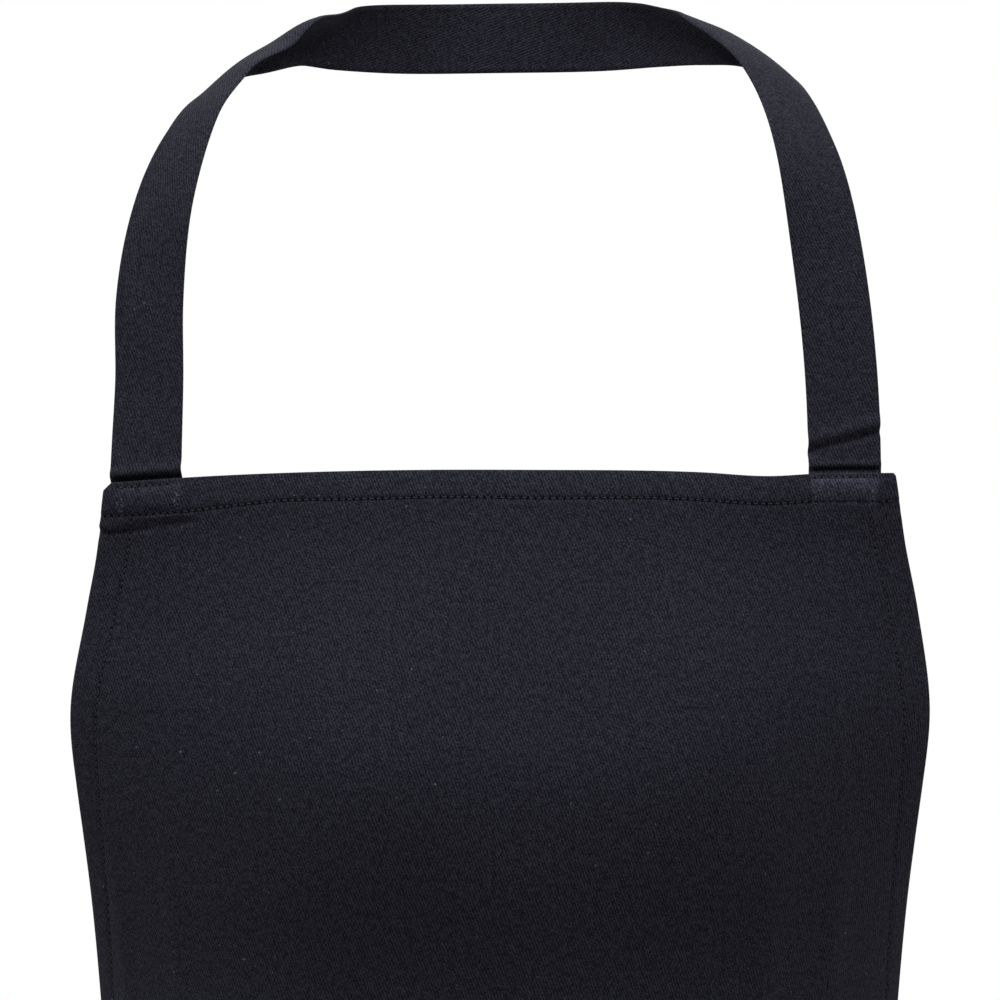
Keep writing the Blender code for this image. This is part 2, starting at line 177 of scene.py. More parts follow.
# ---------------------------------------------------------------- curves and the hanging surface
def through(knots, values, at):
    """A smooth curve through the knots: cubic pieces whose slopes are the neighbours' mean."""
    knots = np.asarray(knots, float)
    values = np.asarray(values, float)
    slopes = np.gradient(values, knots, axis=0)
    at = np.clip(np.asarray(at, float), knots[0], knots[-1])
    piece = np.clip(np.searchsorted(knots, at, side="right") - 1, 0, len(knots) - 2)
    span = knots[piece + 1] - knots[piece]
    t = (at - knots[piece]) / span
    if values.ndim > 1:
        t = t[:, None]
        span = span[:, None]
    start = (1 + 2 * t) * (1 - t) ** 2 * values[piece]
    start_slope = t * (1 - t) ** 2 * span * slopes[piece]
    end = t**2 * (3 - 2 * t) * values[piece + 1]
    end_slope = t**2 * (t - 1) * span * slopes[piece + 1]
    return start + start_slope + end + end_slope


def summed(values, places):
    """Running integral of the values, from the first place."""
    return np.concatenate([[0.0], np.cumsum((values[1:] + values[:-1]) / 2 * np.diff(places))])


def ramp(low, high, at):
    """0 before low, 1 after high, smooth in between."""
    t = np.clip((at - low) / (high - low), 0.0, 1.0)
    return t * t * (3 - 2 * t)


def hump(at, middle, width):
    return np.exp(-(((at - middle) / width) ** 2))


def half_widths(depths):
    """Half the flat panel's width at each depth: the bib, the armhole curve, the skirt."""
    depths = np.asarray(depths, float)
    knots, widths = zip(*BIB_HALF_WIDTHS)
    bib = through(knots, widths, depths)
    share = np.clip((depths - knots[-1]) / (TIE_CORNER - knots[-1]), 0.0, 1.0)
    armhole = widths[-1] + (SKIRT_HALF - widths[-1]) * share**ARMHOLE_POWER
    return np.where(depths <= knots[-1], bib, armhole)


def edge_stretch(depths):
    """How much wider a side hem is when measured straight across, where the edge slants."""
    depths = np.asarray(depths, float)
    slope = (half_widths(depths) - half_widths(np.maximum(depths - 0.0005, 0.0))) / 0.0005
    return np.where(depths >= TIE_CORNER, 1.0, np.hypot(1.0, slope))


def fold_pattern(arc):
    waver = 0.6 * np.sin(2 * math.pi * arc / 0.31)
    return np.sin(2 * math.pi * arc / FOLD_LENGTH + 0.8 + waver)


def small_fold_pattern(arc, depth):
    """Narrower folds between the deep ones, which come and go down the skirt."""
    first = np.sin(2 * math.pi * arc / 0.061 + 2.1 + 3.0 * depth)
    second = np.sin(2 * math.pi * arc / 0.043 + 0.4 - 5.0 * depth)
    return first * (0.6 + 0.4 * math.sin(9.0 * depth)) + 0.5 * second


def cross_section(depth, arc):
    """Plan view of the hanging cloth at one depth, walked along the cloth from its middle."""
    knots = [row[0] for row in SECTIONS]
    half_x, half_y, front = through(knots, [row[1:] for row in SECTIONS], [depth])[0]
    share = np.clip((depth - FOLD_START) / (LENGTH - FOLD_START), 0.0, 1.0)
    swing = FOLD_SWING * share**0.8
    angles = np.linspace(0.0, math.pi, 721)
    speed = np.hypot(half_x * np.cos(angles), half_y * np.sin(angles))
    around = np.interp(np.abs(arc) * (1 - swing**2 / 4), summed(speed, angles), angles)
    turn = np.sign(arc) * np.arctan2(half_y * np.sin(around), half_x * np.cos(around))
    turn = turn + swing * fold_pattern(arc) + 0.10 * swing * small_fold_pattern(arc, depth)
    x = summed(np.cos(turn), arc)
    y = summed(np.sin(turn), arc)
    middle = len(arc) // 2
    sway = BIB_SWAY * float(hump(depth, 0.045, 0.035))
    return x - x[middle] + sway, y - y[middle] + front


def soft_hollows(arc, depth):
    """How far the cloth stands out from its smooth shape, from the body and its own weight."""
    swell = ramp(0.0, 0.105, depth) * (1 - ramp(0.100, 0.215, depth))
    out = 0.0040 * hump(arc, -0.050, 0.038) * swell
    out = out + 0.0042 * hump(arc, 0.077, 0.036) * swell
    low = ramp(0.125, 0.175, depth) * (1 - ramp(0.24, 0.31, depth))
    out = out - 0.0016 * hump(arc, -0.048, 0.030) * low
    out = out - 0.0018 * hump(arc, 0.080, 0.026) * low
    out = out + 0.0012 * hump(arc, 0.016, 0.024) * low
    edge = ramp(0.105, 0.165, depth) * (1 - ramp(0.235, 0.290, depth))
    out = out + 0.0008 * hump(arc, -0.1560, 0.0040) * edge
    out = out + 0.0006 * hump(arc, -0.1270, 0.0040) * edge
    out = out + 0.0009 * hump(arc, 0.1010, 0.0055) * edge
    out = out + 0.0011 * hump(arc, 0.1310, 0.0060) * edge
    line = 0.0172 - 0.075 * (arc + 0.143)
    ends = 1 - ramp(-0.119, -0.108, arc)
    out = out + 0.0007 * hump(depth, line - 0.0016, 0.0014) * ends
    out = out - 0.0013 * hump(depth, line + 0.0010, 0.0013) * ends
    line = 0.0128 + 0.02 * (arc - 0.125)
    ends = ramp(0.108, 0.116, arc)
    return out - 0.0004 * hump(depth, line, 0.0012) * ends


def waist_gathers(arc, depth):
    """Creases that spread from where each tie pulls the skirt's corner back."""
    across = SKIRT_HALF - np.abs(arc)
    angle = np.arctan2(depth - BIB_TOP, across)
    reach = np.hypot(depth - BIB_TOP, across)
    fan = np.sin(11.0 * angle + 0.9 * np.sign(arc)) * hump(reach, 0.060, 0.045)
    band = np.sin(2 * math.pi * (depth - 0.31) / 0.024 + 5.0 * arc) * hump(depth, 0.318, 0.030)
    return 0.0018 * fan + 0.0005 * band * ramp(0.02, 0.12, np.abs(arc))


def edge_drop(across):
    """How far the bib's top edge hangs below a level line at places across it."""
    places, drops = zip(*TOP_EDGE_DROP)
    return through(places, drops, across)


def hanging_surface():
    """Points and inward normals of the outer cloth face on a fine grid of depth and arc."""
    depths = np.linspace(0.0, LENGTH, 431)
    arc = np.linspace(-0.430, 0.430, 861)
    points = np.zeros((len(depths), len(arc), 3))
    for row, depth in enumerate(depths):
        points[row, :, 0], points[row, :, 1] = cross_section(depth, arc)
        points[row, :, 2] = BIB_TOP - depth
    points[:, :, 2] -= edge_drop(arc)[None, :] * np.exp(-((depths / 0.045) ** 1.5))[:, None]
    normals = inward_normals(points, arc, depths)
    grid_arc, grid_depth = np.meshgrid(arc, depths)
    out = soft_hollows(grid_arc, grid_depth) + waist_gathers(grid_arc, grid_depth)
    points = points - normals * out[:, :, None]
    return depths, arc, points, inward_normals(points, arc, depths)


def inward_normals(points, arc, depths):
    across = np.gradient(points, arc, axis=1)
    down = np.gradient(points, depths, axis=0)
    normals = np.cross(across, down)
    return normals / np.linalg.norm(normals, axis=2)[:, :, None]


DEPTHS, ARC, SURFACE, INWARD = hanging_surface()


def top_row(arc):
    """Depth of the top hem's row of stitches, which wanders down towards the left corner."""
    arc = np.asarray(arc, float)
    return TOP_STITCH + 0.0022 * (1 - ramp(-0.118, -0.070, arc)) + 0.0002 * np.sin(90 * arc)


def sewn_relief(arc, depth):
    """Padding of the turned hems and of the strap ends behind them, as a step outwards."""
    stretch = edge_stretch(depth)
    edge = (half_widths(depth) - np.abs(arc)) / stretch
    inside = ramp(TOP_HEM - 0.001, TOP_HEM + 0.001, depth)
    row = top_row(arc)
    side = hem_profile(edge, SIDE_STITCH) * inside
    top = hem_profile(depth, row)
    bottom = hem_profile(LENGTH - depth, BOTTOM_STITCH)
    out = np.maximum(np.maximum(side, top), bottom)
    groove = hump(edge, SIDE_STITCH, 0.0008) * inside
    groove = groove + hump(depth, row, 0.0008) + hump(LENGTH - depth, BOTTOM_STITCH, 0.0008)
    out = out - 0.00025 * np.minimum(groove, 1.0)
    for x, seam_depth in zip((LEFT_STRAP_X, RIGHT_STRAP_X), STRAP_STITCHES):
        across = 1 - ramp(0.0115, 0.0140, np.abs(arc - x))
        share = np.clip((depth - seam_depth) / (row - seam_depth), 0.0, 1.0)
        out = out + 0.00085 * across * np.sin(math.pi * share) ** 0.7
        out = out - 0.00030 * across * hump(depth, seam_depth, 0.0007)
    return out - 0.0006 * np.clip(1 - edge / 0.0012, 0.0, 1.0) ** 2


def hem_profile(edge, stitch):
    inside = np.clip(edge / stitch, 0.0, 1.0)
    return 0.00034 * np.sin(math.pi * inside) ** 0.6 * (edge < stitch)


def looked_up(table, row, column):
    """Bilinear values of a gridded table at fractional rows and columns."""
    r = np.clip(row.astype(int), 0, table.shape[0] - 2)
    c = np.clip(column.astype(int), 0, table.shape[1] - 2)
    fr = (row - r)[..., None]
    fc = (column - c)[..., None]
    upper = table[r, c] * (1 - fc) + table[r, c + 1] * fc
    lower = table[r + 1, c] * (1 - fc) + table[r + 1, c + 1] * fc
    return upper * (1 - fr) + lower * fr


def cloth_points(arc, depth, inside=0.0, relief=1.0):
    """Points of the finished cloth face, moved inwards. Arc and depth are arrays of one shape."""
    arc, depth = np.broadcast_arrays(np.asarray(arc, float), np.asarray(depth, float))
    row = np.interp(depth, DEPTHS, np.arange(len(DEPTHS)))
    column = np.interp(arc, ARC, np.arange(len(ARC)))
    normal = looked_up(INWARD, row, column)
    normal = normal / np.linalg.norm(normal, axis=-1)[..., None]
    out = sewn_relief(arc, depth) * relief
    return looked_up(SURFACE, row, column) + normal * (np.asarray(inside) - out)[..., None], normal


# ---------------------------------------------------------------- meshes
def mesh_object(name, points, faces, uv=None, material=None):
    mesh = bpy.data.meshes.new(name)
    mesh.from_pydata([tuple(p) for p in points], [], [tuple(f) for f in faces])
    obj = bpy.data.objects.new(name, mesh)
    bpy.context.scene.collection.objects.link(obj)
    if uv is not None:
        layer = mesh.uv_layers.new(name="Cloth")
        corners = np.zeros(len(mesh.loops), np.int32)
        mesh.loops.foreach_get("vertex_index", corners)
        layer.data.foreach_set("uv", np.asarray(uv, np.float32)[corners].ravel())
    if material is not None:
        mesh.materials.append(material)
    mesh.polygons.foreach_set("use_smooth", [True] * len(mesh.polygons))
    mesh.update()
    return obj


def attached(obj, body, slot, *nodes):
    """The piece, tied to its body, with the model's nodes that it stands for hidden. Slot is not
    used.
    """
    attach(obj, body)
    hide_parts(*nodes)
    return obj


def quads_of(rows, columns, start=0, flip=False):
    r, c = np.meshgrid(np.arange(rows - 1), np.arange(columns - 1), indexing="ij")
    a = (start + r * columns + c).ravel()
    quads = np.stack([a, a + columns, a + columns + 1, a + 1], axis=1)
    return quads[:, ::-1] if flip else quads


def rim_of(rows, columns):
    """Vertex numbers round a grid's border, in order."""
    top = np.arange(columns)
    right = np.arange(1, rows) * columns + columns - 1
    bottom = (rows - 1) * columns + np.arange(columns - 2, -1, -1)
    left = np.arange(rows - 2, 0, -1) * columns
    return np.concatenate([top, right, bottom, left])


def thick_cloth(name, outer, inner, uv, material, back_uv=None):
    """A closed sheet between two grids of points, joined round their borders."""
    back_uv = uv if back_uv is None else back_uv
    rows, columns = outer.shape[:2]
    count = rows * columns
    faces = [quads_of(rows, columns), quads_of(rows, columns, count, flip=True)]
    rim = rim_of(rows, columns)
    nxt = np.roll(rim, -1)
    faces.append(np.stack([rim, nxt, nxt + count, rim + count], axis=1))
    points = np.concatenate([outer.reshape(-1, 3), inner.reshape(-1, 3)])
    both = np.concatenate([uv.reshape(-1, 2), back_uv.reshape(-1, 2)])
    return mesh_object(name, points, np.concatenate(faces), both, material)


def edge_steps(width, fine=0.0004):
    """Distances from an edge inwards, close together at the edge and round the seam."""
    steps = [0.0, fine, 0.0012, 0.0024, 0.0042, 0.0064, 0.0084]
    steps += [width - d for d in (0.0034, 0.0026, 0.0019, 0.0015, 0.0011, 0.0006, 0.0)]
    return sorted({round(s, 5) for s in steps if s >= 0.0})


def panel_lines():
    """The panel mesh's depths, and its columns as shares of half its inner width."""
    top = [0.0, 0.0004, 0.0010, 0.0016, 0.0022, 0.0028, 0.0036, 0.0046, 0.0058, 0.0070]
    bottom = [LENGTH - s for s in edge_steps(BOTTOM_HEM)][::-1]
    crease = list(np.arange(0.0080, 0.0252, 0.00045))
    middle = list(np.arange(0.0260, TIE_CORNER - 0.001, 0.0024))
    skirt = list(np.arange(TIE_CORNER + 0.003, LENGTH - BOTTOM_HEM - 0.002, 0.0055))
    return np.array(top + crease + middle + [TIE_CORNER] + skirt + bottom)


def panel_piece(cloth):
    """The whole front cloth, from the bib's top edge to the skirt's hem."""
    depths = panel_lines()
    sides = np.array(edge_steps(SIDE_HEM))
    shares = np.linspace(-1.0, 1.0, 131)[1:-1]
    stretch = edge_stretch(depths)[:, None]
    half = half_widths(depths)[:, None]
    inner = (half - SIDE_HEM * stretch) * shares[None, :]
    reach = stretch - corner_cut(depths, -1)[:, None] / SIDE_HEM
    left = sides[None, :] * reach - half + corner_cut(depths, -1)[:, None]
    reach = stretch - corner_cut(depths, 1)[:, None] / SIDE_HEM
    right = half - corner_cut(depths, 1)[:, None] - sides[None, ::-1] * reach
    arc = np.concatenate([left, inner, right], axis=1)
    depth = np.broadcast_to(depths[:, None], arc.shape)
    outer, _ = cloth_points(arc, depth)
    curl = 0.5 * np.clip(1 - edge_gap(arc, depth) / 0.0010, 0.0, 1.0)
    under, _ = cloth_points(arc, depth, CLOTH * (1 - curl))
    uv = np.stack([arc, -depth], axis=2)
    return thick_cloth("front_panel_cloth", outer, under, uv, cloth)


def corner_cut(depth, side):
    """How far the bib's worn corner is pulled in from the cut edge, at each depth."""
    return np.clip(CORNER_CUTS[side] - depth, 0.0, None)


def edge_gap(arc, depth):
    """Distance from the nearest cut edge of the panel."""
    side = half_widths(depth) - np.abs(arc)
    side = side - corner_cut(depth, -1) * (arc < 0) - corner_cut(depth, 1) * (arc > 0)
    side = side / edge_stretch(depth)
    return np.minimum(np.minimum(side, depth), LENGTH - depth)


def hem_layer(name, arc, depth, across, cloth):
    """A turned hem behind the panel. Across runs from 0 at the edge to 1 at the fold."""
    roll = 0.00030 * np.clip(1 - np.minimum(across, 1 - across) / 0.06, 0.0, 1.0) ** 2
    near, _ = cloth_points(arc, depth, CLOTH + 0.00002 + roll)
    far, _ = cloth_points(arc, depth, CLOTH + 0.00080 - roll, relief=0.6)
    uv = np.stack([arc + 0.31, depth], axis=2)
    return thick_cloth(name, near, far, uv, cloth)


def hem_pieces(cloth):
    """The turned hems, seen from behind and along the edges."""
    made = []
    share = np.array([0.0, 0.03, 0.08, 0.2, 0.4, 0.6, 0.8, 0.9, 0.95, 0.98, 1.0])
    reach = np.linspace(-1.0, 1.0, 181)
    for name, start, way, width in (
        ("top_hem", 0.0002, 1.0, TOP_HEM),
        ("bottom_hem", LENGTH - 0.0002, -1.0, BOTTOM_HEM),
    ):
        depth = start + way * share[:, None] * (width - 0.0002) + 0 * reach[None, :]
        arc = reach[None, :] * (half_widths(depth) - 0.0004)
        arc = arc + np.clip(-reach, 0, 1)[None, :] ** 40 * corner_cut(depth, -1)
        arc = arc - np.clip(reach, 0, 1)[None, :] ** 40 * corner_cut(depth, 1)
        order = slice(None) if way > 0 else slice(None, None, -1)
        across = np.broadcast_to(share[:, None], arc.shape)
        made.append(
            hem_layer(f"{name}_fold", arc[order], depth[order], across[order], cloth)
        )
    for side, word in ((-1, "left"), (1, "right")):
        for name, low, high in (
            ("bib_hem", TOP_HEM, 0.2950),
            ("skirt_hem", 0.2955, LENGTH - BOTTOM_HEM),
        ):
            depths = np.linspace(low, high, 130)
            stretch = edge_stretch(depths)[:, None]
            depth = np.broadcast_to(depths[:, None], (len(depths), len(share)))
            shares = share if side > 0 else share[::-1]
            fold = half_widths(depths)[:, None] - 0.0002 - shares[None, :] * SIDE_HEM * stretch
            across = np.broadcast_to(shares[None, :], fold.shape)
            arc = fold * side
            if side > 0:
                arc, across = arc[:, ::-1], across[:, ::-1]
            made.append(hem_layer(f"{word}_{name}_fold", arc, depth, across, cloth))
    return made


def stitches(name, arcs, depths, thread):
    """A row of separate stitches along a line drawn on the panel."""
    line = np.stack([arcs, depths], axis=1)
    walked = walked_length(line)
    count = int(walked[-1] / STITCH_PITCH)
    starts = (np.arange(count) + 0.2) * STITCH_PITCH
    places = np.stack([starts, starts + STITCH_LENGTH], axis=1)
    arc = np.interp(places, walked, arcs)
    depth = np.interp(places, walked, depths)
    ends, normals = cloth_points(arc, depth)
    return stitch_mesh(name, ends, -normals, thread, "apron")


def stitch_mesh(name, ends, out, thread, body):
    """Separate thread loops. Ends is (count, 2, 3) and out the cloth's outward normals."""
    lift = np.array([-0.00012, 0.00012, 0.00020, 0.00012, -0.00012])
    share = np.array([0.0, 0.18, 0.5, 0.82, 1.0])
    fat = np.array([0.55, 0.95, 1.0, 0.95, 0.55])
    run = ends[:, 1] - ends[:, 0]
    up = out.mean(axis=1)
    up /= np.linalg.norm(up, axis=1)[:, None]
    side = np.cross(run, up)
    side /= np.linalg.norm(side, axis=1)[:, None]
    angles = np.arange(6) * math.pi / 3
    rings = []
    for s, l, f in zip(share, lift, fat):
        centre = ends[:, 0] + run * s + up * l
        for a in angles:
            across = side * (THREAD_HALF_WIDTH * f * math.cos(a))
            rings.append(centre + across + up * (THREAD_HALF_HEIGHT * f * math.sin(a)))
    points = np.stack(rings, axis=1)
    count = len(points)
    faces = []
    for ring in range(4):
        for k in range(6):
            a = ring * 6 + k
            b = ring * 6 + (k + 1) % 6
            faces.append((a, b, b + 6, a + 6))
    faces = np.array(faces)
    caps = np.array([(5, 4, 3, 2), (5, 2, 1, 0), (24, 25, 26, 27), (24, 27, 28, 29)])
    local = np.concatenate([faces, caps])
    every = (local[None] + (np.arange(count) * 30)[:, None, None]).reshape(-1, 4)
    obj = mesh_object(f"{name}_thread", points.reshape(-1, 3), every, None, thread)
    return attached(obj, body, "thread", f"{name}_stitching")


def hole_shade_discs(name, centres, out, run, hole, size):
    """Small dimples painted near black as the shade inside each needle hole, laid just proud of
    the cloth.
    """
    side = np.cross(run, out)
    side /= np.linalg.norm(side, axis=1)[:, None]
    run = run / np.linalg.norm(run, axis=1)[:, None]
    angles = np.arange(8) * math.pi / 4
    ring = [
        centres + out * 0.00022 + (run * math.cos(a) + side * math.sin(a)) * size
        for a in angles
    ]
    points = np.stack([*ring, centres + out * 0.00002], axis=1)
    local = np.array([(k, (k + 1) % 8, 8) for k in range(8)])
    every = (local[None] + (np.arange(len(points)) * 9)[:, None, None]).reshape(-1, 3)
    obj = mesh_object(name, points.reshape(-1, 3), every, None, hole)
    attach(obj, "apron")
    return obj


# ---------------------------------------------------------------- ribbons
def walked_length(points):
    return np.concatenate([[0.0], np.cumsum(np.linalg.norm(np.diff(points, axis=0), axis=1))])


def resampled(stations, places):
    """Smooth points through the stations at given shares of the length walked."""
    stations = np.asarray(stations, float)
    knots = walked_length(stations[:, :3])
    fine = through(knots, stations, np.linspace(0.0, knots[-1], 1200))
    knots = walked_length(fine[:, :3])
    at = np.asarray(places) * knots[-1]
    return np.stack([np.interp(at, knots, fine[:, i]) for i in range(fine.shape[1])], axis=1)


def ribbon_frame(centres):
    """Two directions square to a run: across it as seen from the front, and towards -Y."""
    run = np.gradient(centres, axis=0)
    run /= np.linalg.norm(run, axis=1)[:, None]
    away = np.array([0.0, 0.99, 0.14])
    away /= np.linalg.norm(away)
    flat = np.cross(np.broadcast_to(away, run.shape), run)
    flat /= np.linalg.norm(flat, axis=1)[:, None]
    near = np.cross(flat, run)
    near *= -np.sign(near @ away)[:, None]
    return flat, near


def rolled_sections(centres, outer_turn, inner_turn, width, shares):
    """Points across a ribbon whose section curls evenly from its outer edge's turn to its inner's.

    Shares run from -1 at the outer edge to 1 at the inner edge, and the middle stays on the run.
    """
    flat, near = ribbon_frame(centres)
    turn = outer_turn[:, None] + (inner_turn - outer_turn)[:, None] * (shares + 1) / 2
    way = flat[:, None] * np.cos(turn)[..., None] + near[:, None] * np.sin(turn)[..., None]
    steps = (way[:, 1:] + way[:, :-1]) / 2 * np.diff(shares)[None, :, None] * width / 2
    place = np.concatenate([np.zeros((len(centres), 1, 3)), np.cumsum(steps, axis=1)], axis=1)
    return centres[:, None] + place - place[:, len(shares) // 2][:, None]


def cross_lines(count):
    """Places across a ribbon from -1 to 1, closer together at its edges."""
    return np.sin(np.linspace(-math.pi / 2, math.pi / 2, count))


def ribbon_piece(name, place, t, half_width, cloth, half=0.0006, bend=None):
    """A sewn band over a grid of points: rounded edges and a low ridge beside each edge.

    Bend(walked, t) says how far the band stands out at a place, with t from -1 to 1 across.
    """
    walked = walked_length(place[:, len(t) // 2])
    across = np.gradient(place, axis=1)
    run = np.gradient(place, axis=0)
    out = np.cross(across, run)
    out /= np.linalg.norm(out, axis=2)[..., None]
    body = half * np.sqrt(np.clip(1 - np.abs(t) ** 10, 0.0, 1.0)) + 0.00002
    ridge = 0.00014 * (hump(np.abs(t), 0.88, 0.05) - 0.5 * hump(np.abs(t), 0.76, 0.05))
    stand = np.zeros(place.shape[:2])
    if bend is not None:
        stand = stand + bend(walked[:, None], t[None, :])
    outer = place + out * (body + ridge + stand)[..., None]
    inner = place - out * (body + ridge - stand)[..., None]
    side = np.asarray(half_width)[..., None] * t
    uv = np.stack(np.broadcast_arrays(side, walked[:, None]), axis=2)
    back = np.stack(np.broadcast_arrays(0.2 - side, walked[:, None]), axis=2)
    return thick_cloth(name, outer, inner, uv, cloth, back)


def strap_bend(total):
    """Creases where the neck strap leaves the bib, and its slack along the way."""

    def bend(walked, t):
        left = walked - 0.0100
        right = total - 0.0100 - walked
        out = -0.0012 * hump(left, 0.0002, 0.0016) * ramp(-0.004, 0.0, left)
        out = out + 0.0010 * hump(left, 0.0034 + 0.0006 * t, 0.0021)
        slant = 0.0119 - 0.0033 * t
        out = out - 0.0015 * hump(right, slant, 0.0014) * (0.8 - 0.1 * t)
        out = out + 0.0009 * hump(right, slant + 0.0036, 0.0026)
        out = out - 0.0006 * hump(right, 0.0072, 0.0010) * ramp(0.5, 0.9, t)
        out = out - 0.0008 * hump(right, 0.0014, 0.0009) * (1 - ramp(0.82, 0.98, np.abs(t)))
        out = out + 0.0005 * hump(right, 0.0033, 0.0012)
        slack = np.sin(walked * 61.0) * np.sin(walked * 23.0 + 1.0)
        return out + 0.0003 * slack * t + 0.0002 * np.cos(walked * 97.0) * (1 - t * t)

    return bend


def neck_strap_piece(cloth):
    """One band from behind the bib's left corner, round the neck, to behind the right corner."""
    stations = [
        (x, y, z + BIB_TOP, math.radians(outer), math.radians(inner))
        for x, y, z, outer, inner in STRAP_RUN
    ]
    near = np.linspace(0.0, 0.055, 80)[:-1]
    places = np.concatenate([near, np.linspace(0.055, 0.945, 240), 1 - near[::-1]])
    path = resampled(stations, places)
    centres = path[:, :3]
    t = cross_lines(29)
    place = rolled_sections(centres, path[:, 3], path[:, 4], RIBBON_WIDTH, t)
    low = 1 - ramp(0.0, 0.030, place[..., 2] - BIB_TOP)
    place[..., 2] -= edge_drop(place[..., 0]) * low * (np.abs(place[..., 0]) > 0.09)
    total = walked_length(place[:, len(t) // 2])[-1]
    bend = strap_bend(total)
    halves = np.full(len(path), RIBBON_WIDTH / 2)
    obj = ribbon_piece("neck_strap_band", place, t, halves, cloth, 0.00065, bend)
    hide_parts("neck_strap", "left_strap_end", "right_strap_end")
    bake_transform(obj)
    return obj, float(total)


def flat_band(centres, across, widths, t):
    """Points of a ribbon that stays flat across."""
    return centres[:, None] + across[:, None] * (widths[:, None] / 2 * t[None, :])[..., None]


def back_middle():
    """Arc at which the cloth surface reaches the middle of the back, at tie height."""
    row = int(np.argmin(np.abs(DEPTHS - BIB_TOP)))
    right = ARC > 0.2
    return float(np.interp(0.0, -SURFACE[row, right, 0], ARC[right]))


def tie_piece(side, word, cloth):
    """The tie from behind the skirt's corner to the knot, gathered as it reaches the knot."""
    back = back_middle()
    arc = np.linspace(0.3300, back - 0.010, 60) * side
    gather = ramp(back - 0.060, back - 0.012, np.abs(arc))
    middle, normal = cloth_points(arc, np.full_like(arc, BIB_TOP), 0.0022, relief=0.0)
    middle = middle + normal * 0.0006
    middle[:, 1] += 0.0035 * ramp(back - 0.045, back - 0.010, np.abs(arc))
    across = np.tile([0.0, 0.0, float(side)], (len(arc), 1))
    widths = RIBBON_WIDTH * (1 - 0.45 * gather)
    walked = walked_length(middle)

    def pleats(place, t):
        share = np.interp(place, walked, gather)
        return 0.0016 * share * np.sin(9.0 * t * side + 0.8)

    t = cross_lines(41)
    place = flat_band(middle, across, widths, t)
    obj = ribbon_piece(f"{word}_waist_tie_run", place, t, widths / 2, cloth, 0.0006, pleats)
    attached(obj, "apron", "twill", f"{word}_waist_tie")
    return obj, float(walked[-1])


def loop_piece(side, word, cloth):
    """A teardrop of ribbon, pleated where both its ends enter the knot."""
    stations = np.array([(x * side, y, 0.0) for x, y in LOOP_RUN])
    stations[0] -= [0.0040 * side, 0.0, 0.0]
    stations[-1] -= [0.0040 * side, 0.0, 0.0]
    share = np.linspace(0.0, 1.0, 150)
    path = resampled(stations, share)
    tight = np.minimum(share, 1 - share)
    widths = RIBBON_WIDTH * np.clip(0.42 + 3.6 * tight, 0.42, 1.0)
    sag = 0.0045 * np.sin(math.pi * share) ** 2
    path[:, 2] -= sag
    droop = np.array(Matrix.Rotation(LOOP_DROOP * side, 3, "Y"))
    hinge = np.array([LOOP_HINGE[0] * side, LOOP_HINGE[1], LOOP_HINGE[2]])
    path = (path - hinge) @ droop.T + hinge
    lean = 0.22 * np.sin(2 * math.pi * share)
    upright = np.stack([0.25 * side * np.sin(lean), np.sin(lean), np.cos(lean)], axis=1)
    across = upright @ droop.T
    across /= np.linalg.norm(across, axis=1)[:, None]
    total = walked_length(path)[-1]

    def pleats(place, t):
        near = np.minimum(place, total - place)
        fade = np.exp(-near / 0.016)
        wave = 0.0003 * np.sin(place * 85.0) * t
        return side * (0.0017 * fade * np.sin(8.0 * t + 0.5) + wave)

    t = cross_lines(41)
    place = flat_band(path, across, widths, t)
    obj = ribbon_piece(f"{word}_bow_loop_band", place, t, widths / 2, cloth, 0.0006, pleats)
    attached(obj, f"{word}_loop", "twill", f"{word}_bow_loop")
    return obj, float(total)


def tail_piece(side, word, length, cloth, thread):
    """A hanging tie end: pleated at the knot, slightly wavy, with a turned and stitched end."""
    stations = np.array([(x * side, y, z) for x, y, z in TAIL_RUN])
    path = resampled(stations, np.linspace(0.0, 1.0, 400))
    walked = walked_length(path)
    path = path[walked <= length]
    top = path[0] + np.array([-0.0020 * side, -0.0005, 0.0050])
    path = np.concatenate([top[None], path])
    walked = walked_length(path)
    path[:, 1] += 0.0016 * np.sin(walked * 34.0 + side) * ramp(0.02, 0.10, walked)
    lean = side * (0.15 + 0.35 * np.sin(walked * 13.0)) * ramp(0.01, 0.12, walked)
    across = np.stack([np.cos(lean), np.sin(lean), 0 * lean], axis=1)
    widths = RIBBON_WIDTH * np.clip(0.46 + 0.54 * walked / 0.034, 0.46, 1.0)
    keep = np.unique(np.concatenate([np.arange(0, len(path), 3), [len(path) - 1]]))

    def pleats(place, t):
        fade = np.exp(-place / 0.018)
        end = hump(place, walked[-1] - 0.0080, 0.0007)
        roll = 0.0010 * np.sin(place * 21.0 + side) * t
        return 0.0015 * fade * np.sin(8.0 * t) + roll * ramp(0.03, 0.1, place) - 0.0002 * end

    t = cross_lines(33)
    place = flat_band(path[keep], across[keep], widths[keep], t)
    half = widths[keep] / 2
    obj = ribbon_piece(f"{word}_tie_tail_band", place, t, half, cloth, 0.0006, pleats)
    attached(obj, f"{word}_tail", "twill", f"{word}_tie_tail", f"{word}_tail_hem")
    row = tail_stitch_row(word, path, across, walked, pleats, thread)
    return obj, row, float(walked[-1])


